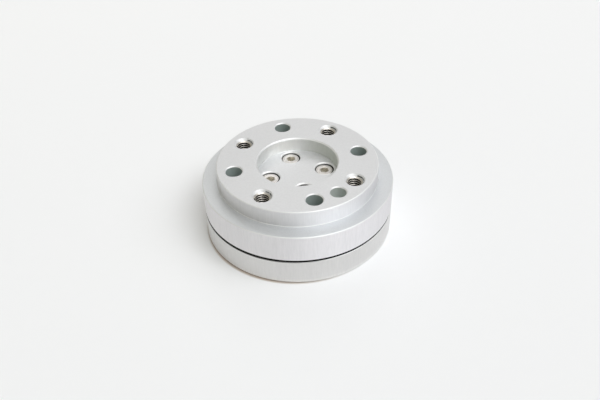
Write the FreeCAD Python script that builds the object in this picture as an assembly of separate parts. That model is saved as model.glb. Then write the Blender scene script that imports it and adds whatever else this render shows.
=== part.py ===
import FreeCAD, Part
import math
import os

# Round six-axis force sensor for a robot wrist, in millimetres.
# Z runs up the sensor's axis from the centre of its underside to the tool face.
# The access holes lie on X and Y, the tapped holes on the diagonals between them.

V = FreeCAD.Vector
ORIGIN = V(0, 0, 0)
UP = V(0, 0, 1)

# Outer form
BODY_D = 75.0
BASE_HEIGHT = 10.35
GAP_HEIGHT = 0.9
SKIRT_HEIGHT = 11.15
BOSS_HEIGHT = 6.6
BOSS_WALL = 2.55
EDGE_CHAMFER = 0.3
FOOT_CHAMFER = 0.5
GAP_CHAMFER = 0.15
BOSS_FILLET = 0.25

# Tool face: one pitch circle carries the tapped, access and pin holes, round a centring recess
PITCH_D = 50.0
PILOT_D = 31.5
PILOT_DEPTH = 5.8
PILOT_CHAMFER = 0.5
PILOT_FILLET = 0.2
ACCESS_D = 6.4
PIN_D = 6.0
PIN_DEPTH = 4.8
PIN_ANGLE = -67.5
MOUTH_CHAMFER = 0.4
DRILL_POINT_ANGLE = 118.0

# Wire thread inserts of the tapped holes, drawn as sleeves from the wall of the hole to the thread's crest
INSERT_D = 6.2
INSERT_BORE_D = 5.0
INSERT_LENGTH = 6.0
INSERT_RUNOUT = 0.6
INSERT_EDGE = 0.2
TOOL_INSERT_SINK = 0.6
BASE_INSERT_SINK = 0.25
TOOL_COUNTERSINK = 0.85
BASE_COUNTERSINK = 0.3

# First cut of the thread in the countersinks of the tool face, on the same side of each hole
THREAD_START_DEPTH = 0.6
THREAD_START_HEIGHT = 0.35
THREAD_START_LAND = 0.05
THREAD_START_ANGLE = 10.0
THREAD_START_HALF_ANGLE = 46.0

# Cap screws that pull the flange on to the hub of the elastic element
HUB_SCREW_D = 4.0
HUB_SCREW_LENGTH = 8.0
HUB_SCREW_HEAD_D = 7.0
HUB_SCREW_HEAD_HEIGHT = 4.0
HUB_SCREW_KEY = 3.0
HUB_SCREW_KEY_DEPTH = 2.0
HUB_SCREW_SINK = 0.7
HUB_SCREW_LAND = 0.55

# Cap screws that hold the ring of the elastic element to the base, under the access holes
RING_SCREW_D = 3.0
RING_SCREW_LENGTH = 8.0
RING_SCREW_HEAD_D = 5.5
RING_SCREW_HEAD_HEIGHT = 3.0
RING_SCREW_KEY = 2.5
RING_SCREW_KEY_DEPTH = 1.5
RING_SCREW_SINK = 2.4

# Elastic element: a hub on four beams, each ending in a thin plate that a slot frees from the ring
HUB_WALL = 1.5
HUB_RISE = 0.8
BEAM_WIDTH = 4.0
BEAM_HEIGHT = 4.4
BEAM_FILLET = 0.6
RING_WALL = 0.45
SLOT_WIDTH = 1.0
SLOT_HALF_ANGLE = 17.0
FLEXURE_THICKNESS = 1.6
PAD_HEIGHT = 0.8
PAD_WALL = 0.9
DOWEL_D = 3.0
DOWEL_LENGTH = 6.0
DOWEL_EDGE = 0.3
DOWEL_WALL = 0.45

# Strain gauges on the beams and the solder tabs beside them
GAUGE_LENGTH = 3.0
GAUGE_WIDTH = 2.4
GAUGE_THICKNESS = 0.1
TAB_LENGTH = 5.0
TAB_WIDTH = 2.6
TAB_THICKNESS = 0.4

# Space inside the two discs
SKIRT_WALL = 3.8
LIP_HEIGHT = 1.2
PLATE_LAND = 0.8

# Soft seal in a groove of both discs, with a lip that fills the gap between them
SEAL_WIDTH = 1.5
SEAL_HEIGHT = 2.6
SEAL_GROOVE_DEPTH = 1.0
SEAL_INSET = 1.3
SEAL_LIP_INSET = 0.2

# Cover on the underside, its seal and its countersunk screws
COVER_THICKNESS = 1.2
COVER_SINK = 0.2
COVER_EDGE = 0.15
POCKET_LAND = 0.3
COVER_SEAL_WIDTH = 0.8
COVER_SEAL_HEIGHT = 0.6
COVER_SEAL_LAND = 0.4
COVER_SCREW_MARGIN = 0.4
COVER_SCREW_D = 2.0
COVER_SCREW_LENGTH = 5.0
COVER_SCREW_HEAD_D = 3.8
COVER_SCREW_KEY = 1.3
COVER_SCREW_KEY_DEPTH = 0.7

# Circuit board on pillars of the cover; the turns of its parts count from the wire header
BOARD_D = 24.0
BOARD_CLEARANCE = 0.8
BOARD_THICKNESS = 1.0
PILLAR_D = 4.0
PILLAR_HEIGHT = 0.8
BOARD_SCREW_MARGIN = 0.4
BOARD_SCREW_D = 2.0
BOARD_SCREW_LENGTH = 2.8
BOARD_SCREW_HEAD_D = 3.6
BOARD_SCREW_HEAD_HEIGHT = 1.3
BOARD_SCREW_KEY = 1.5
BOARD_SCREW_KEY_DEPTH = 0.8
CHIP_GAP = 1.2
CHIP_EDGE = 0.15
PROCESSOR_SIDE = 6.0
PROCESSOR_HEIGHT = 1.0
CONVERTER_LENGTH = 3.6
CONVERTER_WIDTH = 4.4
CONVERTER_HEIGHT = 1.2
CONVERTER_TURNS = (90, 180, 270)
CAPACITOR_LENGTH = 2.0
CAPACITOR_WIDTH = 1.2
CAPACITOR_HEIGHT = 0.9
CAPACITOR_SPACING = 0.6

# Round receptacle at the side of the base, along its own axis outwards
CONNECTOR_ANGLE = 67.5
SPOT_FACE_DEPTH = 0.6
SPOT_FACE_MARGIN = 0.2
PANEL_THREAD_D = 6.6
PANEL_THREAD_LENGTH = 7.0
COLLAR_SHOULDER = 1.4
COLLAR_FLAT_DEPTH = 0.4
COLLAR_THICKNESS = 2.0
COUPLING_LENGTH = 6.0
COUPLING_EDGE = 0.4
SHELL_WALL = 0.8
SOCKET_STEP = 0.7
SOCKET_DEPTH = 5.0
CONTACT_D = 0.9
CONTACT_PITCH_D = 3.0
CONTACT_REACH = 4.0
CONTACT_TAIL = 1.6
GASKET_INSET = 0.3
GASKET_THICKNESS = 0.5
WIRE_D = 0.8
WIRE_CHANNEL_D = 5.0
HEADER_WIDTH = 5.6
HEADER_LENGTH = 3.4
HEADER_MARGIN = 0.7
HEADER_INSET = 0.5

# Clearances, on the radius unless a height is named
SCREW_CLEARANCE = 0.15
HEAD_CLEARANCE = 0.3
THREAD_CLEARANCE = 0.05
FIT_CLEARANCE = 0.02
SEAL_CLEARANCE = 0.05
SEAL_FREE_HEIGHT = 0.3
SEAL_LIP_CLEARANCE = 0.05
COVER_CLEARANCE = 0.1
HOLE_RUNOUT = 0.8
SCREW_EDGE = 0.25
OVERCUT = 1.0

AXES = (0, 90, 180, 270)
DIAGONALS = (45, 135, 225, 315)

# Tapped holes of the tool face, down to their full width and on to their drilled point
INSERT_ROOM = INSERT_LENGTH + INSERT_RUNOUT
TAPPED_DEPTH = TOOL_INSERT_SINK + INSERT_ROOM
DRILL_SLOPE = 1 / math.tan(math.radians(DRILL_POINT_ANGLE / 2))
TAPPED_POINT = DRILL_SLOPE * INSERT_D / 2

# Heights, from the underside up to the tool face
Z_FLOOR = BASE_HEIGHT - LIP_HEIGHT
Z_SKIRT = BASE_HEIGHT + GAP_HEIGHT
Z_RIM = Z_SKIRT + SKIRT_HEIGHT
Z_TOP = Z_RIM + BOSS_HEIGHT
Z_PILOT = Z_TOP - PILOT_DEPTH
Z_HUB_SEAT = Z_PILOT - HUB_SCREW_SINK - HUB_SCREW_HEAD_HEIGHT
Z_BEAM = Z_FLOOR + PAD_HEIGHT
Z_BEAM_TOP = Z_BEAM + BEAM_HEIGHT
Z_HUB = Z_BEAM_TOP + HUB_RISE
Z_PLATE = Z_TOP - TAPPED_DEPTH - TAPPED_POINT - PLATE_LAND
Z_RING_SEAT = Z_BEAM_TOP - RING_SCREW_SINK
Z_LEDGE = COVER_SINK + COVER_THICKNESS
Z_BOARD = Z_LEDGE + PILLAR_HEIGHT
Z_BOARD_TOP = Z_BOARD + BOARD_THICKNESS

Z_SEAL = BASE_HEIGHT - SEAL_GROOVE_DEPTH
Z_CONNECTOR = BASE_HEIGHT / 2

# Radii of the outer form and the tool face
BODY_R = BODY_D / 2
SKIRT_BORE_R = BODY_R - SKIRT_WALL
SEAL_OUTER_R = BODY_R - SEAL_INSET
SEAL_INNER_R = SEAL_OUTER_R - SEAL_WIDTH
PITCH_R = PITCH_D / 2
BOSS_R = PITCH_R + INSERT_D / 2 + TOOL_COUNTERSINK + BOSS_WALL
PILOT_R = PILOT_D / 2
HUB_HEAD_R = HUB_SCREW_HEAD_D / 2 + HEAD_CLEARANCE
HUB_SCREW_R = PILOT_R - HUB_SCREW_LAND - MOUTH_CHAMFER - HUB_HEAD_R

# Radii of the elastic element: the hub goes round its screws, the ring is as wide as its screw heads need
HUB_R = HUB_SCREW_R + HUB_SCREW_D / 2 + HUB_WALL
RING_HEAD_R = RING_SCREW_HEAD_D / 2 + HEAD_CLEARANCE
RING_R = PITCH_R + RING_HEAD_R + RING_WALL
RING_BORE_R = PITCH_R - RING_HEAD_R - RING_WALL
BEAM_MIDDLE_R = (HUB_R + RING_BORE_R) / 2
SLOT_R = RING_BORE_R + FLEXURE_THICKNESS + SLOT_WIDTH / 2
TAB_R = (SLOT_R + SLOT_WIDTH / 2 + RING_R) / 2

# Radii of the board and of the cover that goes round it
BOARD_R = BOARD_D / 2
BOARD_SCREW_R = BOARD_R - BOARD_SCREW_MARGIN - BOARD_SCREW_HEAD_D / 2
CONVERTER_R = PROCESSOR_SIDE / 2 + CHIP_GAP + CONVERTER_LENGTH / 2
CAPACITOR_R = CONVERTER_R + CONVERTER_LENGTH / 2 + CHIP_GAP + CAPACITOR_WIDTH / 2
POCKET_R = BOARD_R + BOARD_CLEARANCE
COVER_SEAL_INNER_R = POCKET_R + POCKET_LAND
COVER_SEAL_OUTER_R = COVER_SEAL_INNER_R + COVER_SEAL_WIDTH
COVER_SCREW_R = COVER_SEAL_OUTER_R + COVER_SEAL_LAND + COVER_SCREW_D / 2
COVER_R = COVER_SCREW_R + COVER_SCREW_HEAD_D / 2 + COVER_SCREW_MARGIN

# Distances out from the sensor's axis along the receptacle, and radii about the receptacle's own axis
X_SPOT = BODY_R - SPOT_FACE_DEPTH
X_COLLAR = X_SPOT + GASKET_THICKNESS
X_COUPLING = X_COLLAR + COLLAR_THICKNESS
X_MOUTH = X_COUPLING + COUPLING_LENGTH
X_INSULATOR = X_MOUTH - SOCKET_DEPTH
X_REAR = X_COLLAR - PANEL_THREAD_LENGTH
X_TAIL = X_REAR - CONTACT_TAIL
X_HEADER = BOARD_R - HEADER_INSET
PANEL_THREAD_R = PANEL_THREAD_D / 2
COLLAR_R = PANEL_THREAD_R + COLLAR_SHOULDER
INSULATOR_R = PANEL_THREAD_R - SHELL_WALL
SOCKET_R = INSULATOR_R + SOCKET_STEP
COUPLING_R = SOCKET_R + SHELL_WALL

# Angles about the sensor's axis; each ring dowel sits beside a ring screw's head
RING_DOWEL_SPACING = RING_HEAD_R + DOWEL_D / 2 + DOWEL_WALL
RING_DOWEL_ANGLE = 2 * math.degrees(math.asin(RING_DOWEL_SPACING / 2 / PITCH_R))
PAD_HALF_ANGLE = RING_DOWEL_ANGLE + math.degrees(math.asin((DOWEL_D / 2 + PAD_WALL) / PITCH_R))
HUB_DOWEL_ANGLES = DIAGONALS[::2]
RING_DOWEL_ANGLES = [axis + RING_DOWEL_ANGLE for axis in AXES[::2]]
BOARD_SCREW_ANGLES = [turn + CONNECTOR_ANGLE for turn in DIAGONALS]
CONVERTER_ANGLES = [turn + CONNECTOR_ANGLE for turn in CONVERTER_TURNS]


# Forms that several pieces use

def turned(corners):
    """Solid of revolution about Z through corners given as (radius, height)."""
    points = [V(radius, 0, height) for radius, height in corners]
    face = Part.Face(Part.makePolygon(points + points[:1]))
    return face.revolve(ORIGIN, UP, 360)


def tube(outer_r, inner_r, low, high):
    return turned([(inner_r, low), (outer_r, low), (outer_r, high), (inner_r, high)])


def disc(radius, low, high):
    return Part.makeCylinder(radius, high - low, V(0, 0, low))


def block(length, width, low, high):
    """Upright block centred on Z, its length along X."""
    return Part.makeBox(length, width, high - low, V(-length / 2, -width / 2, low))


def hexagon(across_flats, low, high):
    corner = across_flats / math.sqrt(3)
    turns = [math.radians(60 * i) for i in range(7)]
    outline = [V(corner * math.cos(t), corner * math.sin(t), low) for t in turns]
    return Part.Face(Part.makePolygon(outline)).extrude(V(0, 0, high - low))


def sector(outer_r, inner_r, low, high, angle, half_angle):
    """Part of a tube, centred on an angle about Z."""
    corners = [(inner_r, low), (outer_r, low), (outer_r, high), (inner_r, high)]
    points = [V(radius, 0, height) for radius, height in corners]
    piece = Part.Face(Part.makePolygon(points + points[:1])).revolve(ORIGIN, UP, 2 * half_angle)
    piece.rotate(ORIGIN, UP, angle - half_angle)
    return piece


def at(shape, radius, angle, height=0.0):
    """Copy of a shape, moved out along X and up, then turned about Z."""
    copy = shape.copy()
    copy.translate(V(radius, 0, height))
    copy.rotate(ORIGIN, UP, angle)
    return copy


def around(shape, radius, angles, height=0.0):
    return [at(shape, radius, angle, height) for angle in angles]


def upside_down(shape):
    copy = shape.copy()
    copy.rotate(ORIGIN, V(1, 0, 0), 180)
    return copy


def sideways(shape):
    """Shape modelled along Z, laid along the receptacle's axis."""
    copy = shape.copy()
    copy.rotate(ORIGIN, V(0, 1, 0), 90)
    return at(copy, 0, CONNECTOR_ANGLE, Z_CONNECTOR)


def round_edges(shape, *places):
    """Circular edges of a turned shape at the given (radius, height) places."""
    found = []
    for radius, height in places:
        for edge in shape.Edges:
            curve = edge.Curve
            if not isinstance(curve, Part.Circle):
                continue
            if math.isclose(curve.Radius, radius, abs_tol=1e-6) and \
                    math.isclose(curve.Center.z, height, abs_tol=1e-6):
                found.append(edge)
    return found


def drill(diameter, depth, mouth=0.0, pointed=False):
    """Cutter for a hole whose mouth lies at z = 0, with a 45 degree bevel and a drilled end."""
    radius = diameter / 2
    tip = DRILL_SLOPE * radius if pointed else 0.0
    bevel = [(radius + mouth, 0), (radius, -mouth)] if mouth else []
    corners = [(0, OVERCUT), (radius + mouth, OVERCUT), *bevel, (radius, -depth), (0, -depth - tip)]
    return turned(corners)


def cap_screw(diameter, length, head_d, head_height, key, key_depth):
    """Socket head cap screw, its seat at z = 0 and its shank pointing down."""
    shank_r = diameter / 2
    head_r = head_d / 2
    body = turned([
        (0, head_height), (head_r - SCREW_EDGE, head_height), (head_r, head_height - SCREW_EDGE),
        (head_r, 0), (shank_r, 0), (shank_r, -length + SCREW_EDGE), (shank_r - SCREW_EDGE, -length),
        (0, -length)])
    return body.cut(hexagon(key, head_height - key_depth, head_height + OVERCUT))


def insert_hole(sink, countersink, pointed):
    """Cutter for a countersunk hole whose thread insert lies below the surface."""
    return drill(INSERT_D, sink + INSERT_ROOM, countersink, pointed)


def dowel():
    """Dowel pin with bevelled ends, centred on z = 0."""
    pin = disc(DOWEL_D / 2, -DOWEL_LENGTH / 2, DOWEL_LENGTH / 2)
    ends = round_edges(pin, (DOWEL_D / 2, -DOWEL_LENGTH / 2), (DOWEL_D / 2, DOWEL_LENGTH / 2))
    return pin.makeChamfer(DOWEL_EDGE, ends)


def chip(length, width, height):
    """Moulded chip body standing on the board, with a bevelled top."""
    body = block(length, width, 0, height)
    top = max(body.Faces, key=lambda face: face.CenterOfMass.z)
    return body.makeChamfer(CHIP_EDGE, top.Edges)


# Tool flange: one turned and drilled piece

def flange_blank():
    blank = turned([
        (0, Z_PILOT), (PILOT_R, Z_PILOT), (PILOT_R, Z_TOP), (BOSS_R, Z_TOP), (BOSS_R, Z_RIM),
        (BODY_R, Z_RIM), (BODY_R, Z_SKIRT), (SKIRT_BORE_R, Z_SKIRT), (SKIRT_BORE_R, Z_PLATE),
        (HUB_R, Z_PLATE), (HUB_R, Z_HUB), (0, Z_HUB)])
    blank = blank.makeFillet(BOSS_FILLET, round_edges(blank, (BOSS_R, Z_RIM)))
    blank = blank.makeFillet(PILOT_FILLET, round_edges(blank, (PILOT_R, Z_PILOT)))
    blank = blank.makeChamfer(PILOT_CHAMFER, round_edges(blank, (PILOT_R, Z_TOP)))
    blank = blank.makeChamfer(EDGE_CHAMFER, round_edges(blank, (BOSS_R, Z_TOP), (BODY_R, Z_RIM)))
    return blank.makeChamfer(GAP_CHAMFER, round_edges(blank, (BODY_R, Z_SKIRT)))


def thread_starts():
    """Cutters for the first cut of the thread in each countersink of the tool face."""
    low = THREAD_START_LAND - TOOL_COUNTERSINK
    high = low + THREAD_START_HEIGHT
    root_r = INSERT_D / 2 + THREAD_START_DEPTH
    cutters = []
    for angle in DIAGONALS:
        turn = THREAD_START_ANGLE - angle
        start = sector(root_r, INSERT_BORE_D / 2, low, high, turn, THREAD_START_HALF_ANGLE)
        cutters.append(at(start, PITCH_R, angle, Z_TOP))
    return cutters


def tool_flange():
    tapped = insert_hole(TOOL_INSERT_SINK, TOOL_COUNTERSINK, pointed=True)
    access = drill(ACCESS_D, Z_TOP - Z_PLATE + OVERCUT, MOUTH_CHAMFER)
    pin = drill(PIN_D, PIN_DEPTH, MOUTH_CHAMFER, pointed=True)
    head = drill(2 * HUB_HEAD_R, Z_PILOT - Z_HUB_SEAT, MOUTH_CHAMFER)
    shank = disc(HUB_SCREW_D / 2 + SCREW_CLEARANCE, Z_HUB - OVERCUT, Z_HUB_SEAT + OVERCUT)
    hub_dowel = disc(DOWEL_D / 2 + FIT_CLEARANCE, Z_HUB - OVERCUT, Z_HUB + DOWEL_LENGTH / 2)
    seal_room = Z_SEAL + SEAL_HEIGHT + SEAL_FREE_HEIGHT
    groove = tube(SEAL_OUTER_R + SEAL_CLEARANCE, SEAL_INNER_R - SEAL_CLEARANCE, Z_SEAL, seal_room)
    cutters = [
        *around(tapped, PITCH_R, DIAGONALS, Z_TOP), *thread_starts(),
        *around(access, PITCH_R, AXES, Z_TOP), at(pin, PITCH_R, PIN_ANGLE, Z_TOP),
        *around(head, HUB_SCREW_R, AXES, Z_PILOT),
        *around(shank, HUB_SCREW_R, AXES), *around(hub_dowel, HUB_SCREW_R, HUB_DOWEL_ANGLES), groove]
    return flange_blank().cut(cutters)


# Base housing: a thick ring with a pocket for the board and a lip that faces the flange

def base_blank():
    recess_r = COVER_R + COVER_CLEARANCE
    blank = turned([
        (recess_r, 0), (BODY_R, 0), (BODY_R, BASE_HEIGHT), (SKIRT_BORE_R, BASE_HEIGHT),
        (SKIRT_BORE_R, Z_FLOOR), (POCKET_R, Z_FLOOR), (POCKET_R, Z_LEDGE), (recess_r, Z_LEDGE)])
    blank = blank.makeChamfer(FOOT_CHAMFER, round_edges(blank, (BODY_R, 0)))
    return blank.makeChamfer(GAP_CHAMFER, round_edges(blank, (BODY_R, BASE_HEIGHT), (recess_r, 0)))


def receptacle_cutters():
    spot = disc(COLLAR_R + SPOT_FACE_MARGIN, X_SPOT, BODY_R + OVERCUT)
    panel = disc(PANEL_THREAD_R + THREAD_CLEARANCE, X_REAR - HOLE_RUNOUT, X_SPOT + OVERCUT)
    channel = disc(WIRE_CHANNEL_D / 2, 0, X_REAR)
    return [sideways(cutter) for cutter in (spot, panel, channel)]


def base_housing():
    tapped = upside_down(insert_hole(BASE_INSERT_SINK, BASE_COUNTERSINK, pointed=False))
    pin = upside_down(drill(PIN_D, PIN_DEPTH, MOUTH_CHAMFER))
    ring_thread = disc(
        RING_SCREW_D / 2 + THREAD_CLEARANCE, Z_RING_SEAT - RING_SCREW_LENGTH - HOLE_RUNOUT, Z_FLOOR + OVERCUT)
    ring_dowel = disc(
        DOWEL_D / 2 + FIT_CLEARANCE, Z_FLOOR - DOWEL_LENGTH / 2, Z_FLOOR + OVERCUT)
    cover_thread = disc(
        COVER_SCREW_D / 2 + THREAD_CLEARANCE, Z_LEDGE - OVERCUT,
        COVER_SINK + COVER_SCREW_LENGTH + HOLE_RUNOUT)
    gap_groove = tube(
        SEAL_OUTER_R + SEAL_CLEARANCE, SEAL_INNER_R - SEAL_CLEARANCE, Z_SEAL, BASE_HEIGHT + OVERCUT)
    cover_groove = tube(
        COVER_SEAL_OUTER_R + SEAL_CLEARANCE, COVER_SEAL_INNER_R - SEAL_CLEARANCE,
        Z_LEDGE - OVERCUT, Z_LEDGE + COVER_SEAL_HEIGHT)
    cutters = [
        *around(tapped, PITCH_R, DIAGONALS), at(pin, PITCH_R, PIN_ANGLE),
        *around(ring_thread, PITCH_R, AXES),
        *around(ring_dowel, PITCH_R, RING_DOWEL_ANGLES),
        *around(cover_thread, COVER_SCREW_R, AXES),
        gap_groove, cover_groove, *receptacle_cutters()]
    return base_blank().cut(cutters)


# Elastic element: hub, beams, freed plates and ring, milled from one disc

def beam_root_edges(shape):
    """Upright edges where the sides of the beams meet the hub and the ring."""
    found = []
    for edge in shape.Edges:
        ends = [vertex.Point for vertex in edge.Vertexes]
        if len(ends) != 2 or (ends[0] - ends[1]).cross(UP).Length > 1e-6:
            continue
        radius = math.hypot(ends[0].x, ends[0].y)
        at_root = any(math.isclose(radius, r, abs_tol=1e-4) for r in (HUB_R, RING_BORE_R))
        if at_root and min(abs(ends[0].z - Z_BEAM), abs(ends[1].z - Z_BEAM)) < 1e-6:
            found.append(edge)
    return found


def slot():
    """Curved slot behind one beam, with round ends, through the ring."""
    low = Z_BEAM - OVERCUT
    high = Z_BEAM_TOP + OVERCUT
    outer_r = SLOT_R + SLOT_WIDTH / 2
    middle = sector(outer_r, outer_r - SLOT_WIDTH, low, high, 0, SLOT_HALF_ANGLE)
    ends = around(disc(SLOT_WIDTH / 2, low, high), SLOT_R, (-SLOT_HALF_ANGLE, SLOT_HALF_ANGLE))
    return middle.fuse(ends).removeSplitter()


def elastic_element():
    hub = disc(HUB_R, Z_BEAM, Z_BEAM_TOP)
    ring = tube(RING_R, RING_BORE_R, Z_BEAM, Z_BEAM_TOP)
    beam_length = (SLOT_R - SLOT_WIDTH / 2) - HUB_R / 2 - FLEXURE_THICKNESS / 2
    beam = block(beam_length, BEAM_WIDTH, Z_BEAM, Z_BEAM_TOP)
    beams = around(beam, HUB_R / 2 + beam_length / 2, DIAGONALS)
    spider = hub.fuse([ring, *beams]).removeSplitter()
    spider = spider.makeFillet(BEAM_FILLET, beam_root_edges(spider))
    raised = disc(HUB_R, Z_BEAM_TOP, Z_HUB)
    pads = [sector(RING_R, RING_BORE_R, Z_FLOOR, Z_BEAM, axis, PAD_HALF_ANGLE) for axis in AXES]
    body = spider.fuse([raised, *pads]).removeSplitter()

    hub_thread = disc(HUB_SCREW_D / 2 + THREAD_CLEARANCE, Z_BEAM - OVERCUT, Z_HUB + OVERCUT)
    hub_dowel = disc(DOWEL_D / 2 + FIT_CLEARANCE, Z_HUB - DOWEL_LENGTH / 2, Z_HUB + OVERCUT)
    head = disc(RING_HEAD_R, Z_RING_SEAT, Z_BEAM_TOP + OVERCUT)
    shank = disc(RING_SCREW_D / 2 + SCREW_CLEARANCE, Z_FLOOR - OVERCUT, Z_BEAM_TOP)
    ring_dowel = disc(DOWEL_D / 2 + FIT_CLEARANCE, Z_FLOOR - OVERCUT, Z_FLOOR + DOWEL_LENGTH / 2)
    cutters = [
        *around(slot(), 0, DIAGONALS), *around(hub_thread, HUB_SCREW_R, AXES),
        *around(hub_dowel, HUB_SCREW_R, HUB_DOWEL_ANGLES), *around(head, PITCH_R, AXES),
        *around(shank, PITCH_R, AXES),
        *around(ring_dowel, PITCH_R, RING_DOWEL_ANGLES)]
    return body.cut(cutters)


# Fasteners, pins and thread inserts

def hub_screws():
    screw = cap_screw(HUB_SCREW_D, HUB_SCREW_LENGTH, HUB_SCREW_HEAD_D, HUB_SCREW_HEAD_HEIGHT,
                      HUB_SCREW_KEY, HUB_SCREW_KEY_DEPTH)
    return around(screw, HUB_SCREW_R, AXES, Z_HUB_SEAT)


def ring_screws():
    screw = cap_screw(RING_SCREW_D, RING_SCREW_LENGTH, RING_SCREW_HEAD_D, RING_SCREW_HEAD_HEIGHT,
                      RING_SCREW_KEY, RING_SCREW_KEY_DEPTH)
    return around(screw, PITCH_R, AXES, Z_RING_SEAT)


def board_screws():
    screw = cap_screw(BOARD_SCREW_D, BOARD_SCREW_LENGTH, BOARD_SCREW_HEAD_D, BOARD_SCREW_HEAD_HEIGHT,
                      BOARD_SCREW_KEY, BOARD_SCREW_KEY_DEPTH)
    return around(screw, BOARD_SCREW_R, BOARD_SCREW_ANGLES, Z_BOARD_TOP)


def countersunk_cone(margin):
    """Head cone of a cover screw, from the cover's outer face inwards."""
    head_r = COVER_SCREW_HEAD_D / 2 + margin
    shank_r = COVER_SCREW_D / 2 + margin
    return Part.makeCone(head_r, shank_r, head_r - shank_r)


def cover_screws():
    shank_r = COVER_SCREW_D / 2
    shank = disc(shank_r, 0, COVER_SCREW_LENGTH)
    shank = shank.makeChamfer(SCREW_EDGE, round_edges(shank, (shank_r, COVER_SCREW_LENGTH)))
    screw = countersunk_cone(0).fuse(shank).removeSplitter()
    screw = screw.cut(hexagon(COVER_SCREW_KEY, -OVERCUT, COVER_SCREW_KEY_DEPTH))
    return around(screw, COVER_SCREW_R, AXES, COVER_SINK)


def hub_dowels():
    return around(dowel(), HUB_SCREW_R, HUB_DOWEL_ANGLES, Z_HUB)


def ring_dowels():
    return around(dowel(), PITCH_R, RING_DOWEL_ANGLES, Z_FLOOR)


def thread_insert():
    """Sleeve of one wire insert, its outer end at z = 0 and its body below."""
    bore_r = INSERT_BORE_D / 2
    sleeve = tube(INSERT_D / 2 - FIT_CLEARANCE, bore_r, -INSERT_LENGTH, 0)
    return sleeve.makeChamfer(INSERT_EDGE, round_edges(sleeve, (bore_r, 0), (bore_r, -INSERT_LENGTH)))


def tool_thread_inserts():
    return around(thread_insert(), PITCH_R, DIAGONALS, Z_TOP - TOOL_INSERT_SINK)


def base_thread_inserts():
    return around(upside_down(thread_insert()), PITCH_R, DIAGONALS, BASE_INSERT_SINK)


# Seals, gauges and solder tabs

def gap_seal():
    """Ring in the grooves of both discs, with a lip outwards in the gap."""
    lip_r = BODY_R - SEAL_LIP_INSET
    z_lip = Z_SKIRT - SEAL_LIP_CLEARANCE
    top = Z_SEAL + SEAL_HEIGHT
    return turned([
        (SEAL_INNER_R, Z_SEAL), (SEAL_OUTER_R, Z_SEAL), (SEAL_OUTER_R, BASE_HEIGHT), (lip_r, BASE_HEIGHT),
        (lip_r, z_lip), (SEAL_OUTER_R, z_lip), (SEAL_OUTER_R, top), (SEAL_INNER_R, top)])


def cover_seal():
    return tube(COVER_SEAL_OUTER_R, COVER_SEAL_INNER_R, Z_LEDGE, Z_LEDGE + COVER_SEAL_HEIGHT)


def bending_gauges():
    """Gauges on the upper and lower faces of the beams."""
    upper = block(GAUGE_LENGTH, GAUGE_WIDTH, Z_BEAM_TOP, Z_BEAM_TOP + GAUGE_THICKNESS)
    lower = block(GAUGE_LENGTH, GAUGE_WIDTH, Z_BEAM - GAUGE_THICKNESS, Z_BEAM)
    return around(upper, BEAM_MIDDLE_R, DIAGONALS) + around(lower, BEAM_MIDDLE_R, DIAGONALS)


def side_gauges():
    """Gauges on both sides of the beams, at half their height."""
    middle = Z_BEAM + BEAM_HEIGHT / 2
    gauge = block(GAUGE_LENGTH, GAUGE_THICKNESS, middle - GAUGE_WIDTH / 2, middle + GAUGE_WIDTH / 2)
    pair = []
    for side in (-1, 1):
        copy = gauge.copy()
        copy.translate(V(0, side * (BEAM_WIDTH + GAUGE_THICKNESS) / 2, 0))
        pair += around(copy, BEAM_MIDDLE_R, DIAGONALS)
    return pair


def solder_tabs():
    tab = block(TAB_WIDTH, TAB_LENGTH, Z_BEAM_TOP, Z_BEAM_TOP + TAB_THICKNESS)
    return around(tab, TAB_R, DIAGONALS)


# Underside cover and the electronics on it

def bottom_cover():
    plate = disc(COVER_R, COVER_SINK, Z_LEDGE)
    plate = plate.makeChamfer(COVER_EDGE, round_edges(plate, (COVER_R, COVER_SINK)))
    pillar = disc(PILLAR_D / 2, COVER_SINK + COVER_THICKNESS / 2, Z_BOARD)
    plate = plate.fuse(around(pillar, BOARD_SCREW_R, BOARD_SCREW_ANGLES)).removeSplitter()
    shank = disc(COVER_SCREW_D / 2 + SCREW_CLEARANCE, 0, COVER_THICKNESS + COVER_SINK + OVERCUT)
    screw_hole = countersunk_cone(THREAD_CLEARANCE).fuse(shank)
    thread_end = Z_BOARD_TOP - BOARD_SCREW_LENGTH - FIT_CLEARANCE
    board_thread = disc(BOARD_SCREW_D / 2 + THREAD_CLEARANCE, thread_end, Z_BOARD + OVERCUT)
    return plate.cut([
        *around(screw_hole, COVER_SCREW_R, AXES, COVER_SINK),
        *around(board_thread, BOARD_SCREW_R, BOARD_SCREW_ANGLES)])


def circuit_board():
    hole = disc(BOARD_SCREW_D / 2 + SCREW_CLEARANCE, Z_BOARD - OVERCUT, Z_BOARD_TOP + OVERCUT)
    holes = around(hole, BOARD_SCREW_R, BOARD_SCREW_ANGLES)
    return disc(BOARD_R, Z_BOARD, Z_BOARD_TOP).cut(holes)


def processor_chip():
    return at(chip(PROCESSOR_SIDE, PROCESSOR_SIDE, PROCESSOR_HEIGHT), 0, CONNECTOR_ANGLE, Z_BOARD_TOP)


def converter_chips():
    body = chip(CONVERTER_LENGTH, CONVERTER_WIDTH, CONVERTER_HEIGHT)
    return around(body, CONVERTER_R, CONVERTER_ANGLES, Z_BOARD_TOP)


def board_capacitors():
    """A pair of capacitors on the outer side of each converter chip."""
    body = chip(CAPACITOR_WIDTH, CAPACITOR_LENGTH, CAPACITOR_HEIGHT)
    pairs = []
    for side in (-1, 1):
        copy = body.copy()
        copy.translate(V(0, side * (CAPACITOR_LENGTH + CAPACITOR_SPACING) / 2, 0))
        pairs += around(copy, CAPACITOR_R, CONVERTER_ANGLES, Z_BOARD_TOP)
    return pairs


# Receptacle and its wires

def contacts(shape):
    """Copies of a shape modelled along Z at each contact's place in the receptacle."""
    return [sideways(copy) for copy in around(shape, CONTACT_PITCH_D / 2, DIAGONALS)]


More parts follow.
